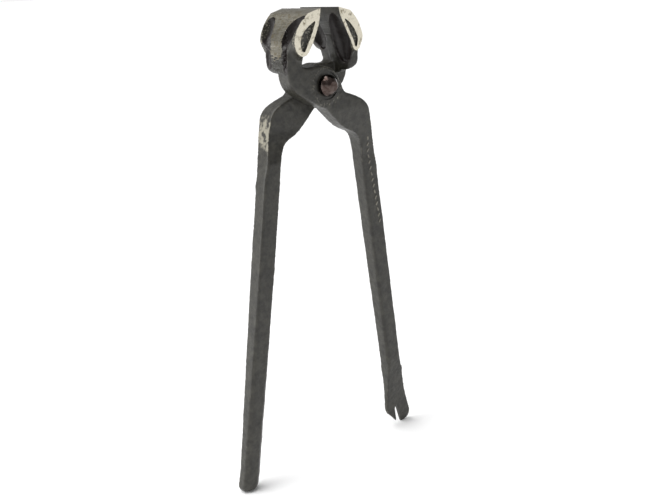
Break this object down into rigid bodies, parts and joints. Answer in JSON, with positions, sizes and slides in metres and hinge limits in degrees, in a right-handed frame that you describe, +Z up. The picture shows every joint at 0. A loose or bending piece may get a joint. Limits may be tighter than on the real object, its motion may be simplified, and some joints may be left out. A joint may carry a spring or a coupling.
{
  "type": "hoof nipper",
  "caption": "Forged farrier's nipper: two crossing levers on a half-lap rivet joint, broad end-cutting jaws, long handles, one with a nail claw.",
  "frame": {"origin": "middle of the flat end of the rivet head, on the pivot axis", "axes": "+Z up from the handles to the jaws, +Y along the pivot axis from the rivet head to its tail, +X towards the clawed handle"},
  "size_m": [0.1506, 0.0378, 0.3],
  "materials": {
    "front_lever_steel": "satin black scale, ground bright at the jaw",
    "rear_lever_steel": "satin black scale, ground bright at the jaw",
    "rivet_steel": "dark polished steel"
  },
  "bodies": {
    "front_lever": {"front_lever": "front_lever_steel", "pivot_rivet": "rivet_steel"},
    "rear_lever": {"rear_lever": "rear_lever_steel"}
  },
  "joints": [
    {"name": "pivot", "type": "hinge", "parent": "front_lever", "child": "rear_lever", "pos_m": [0, 0, 0], "axis": [0, 1, 0], "range_deg": [-16.6, 34]}
  ]
}
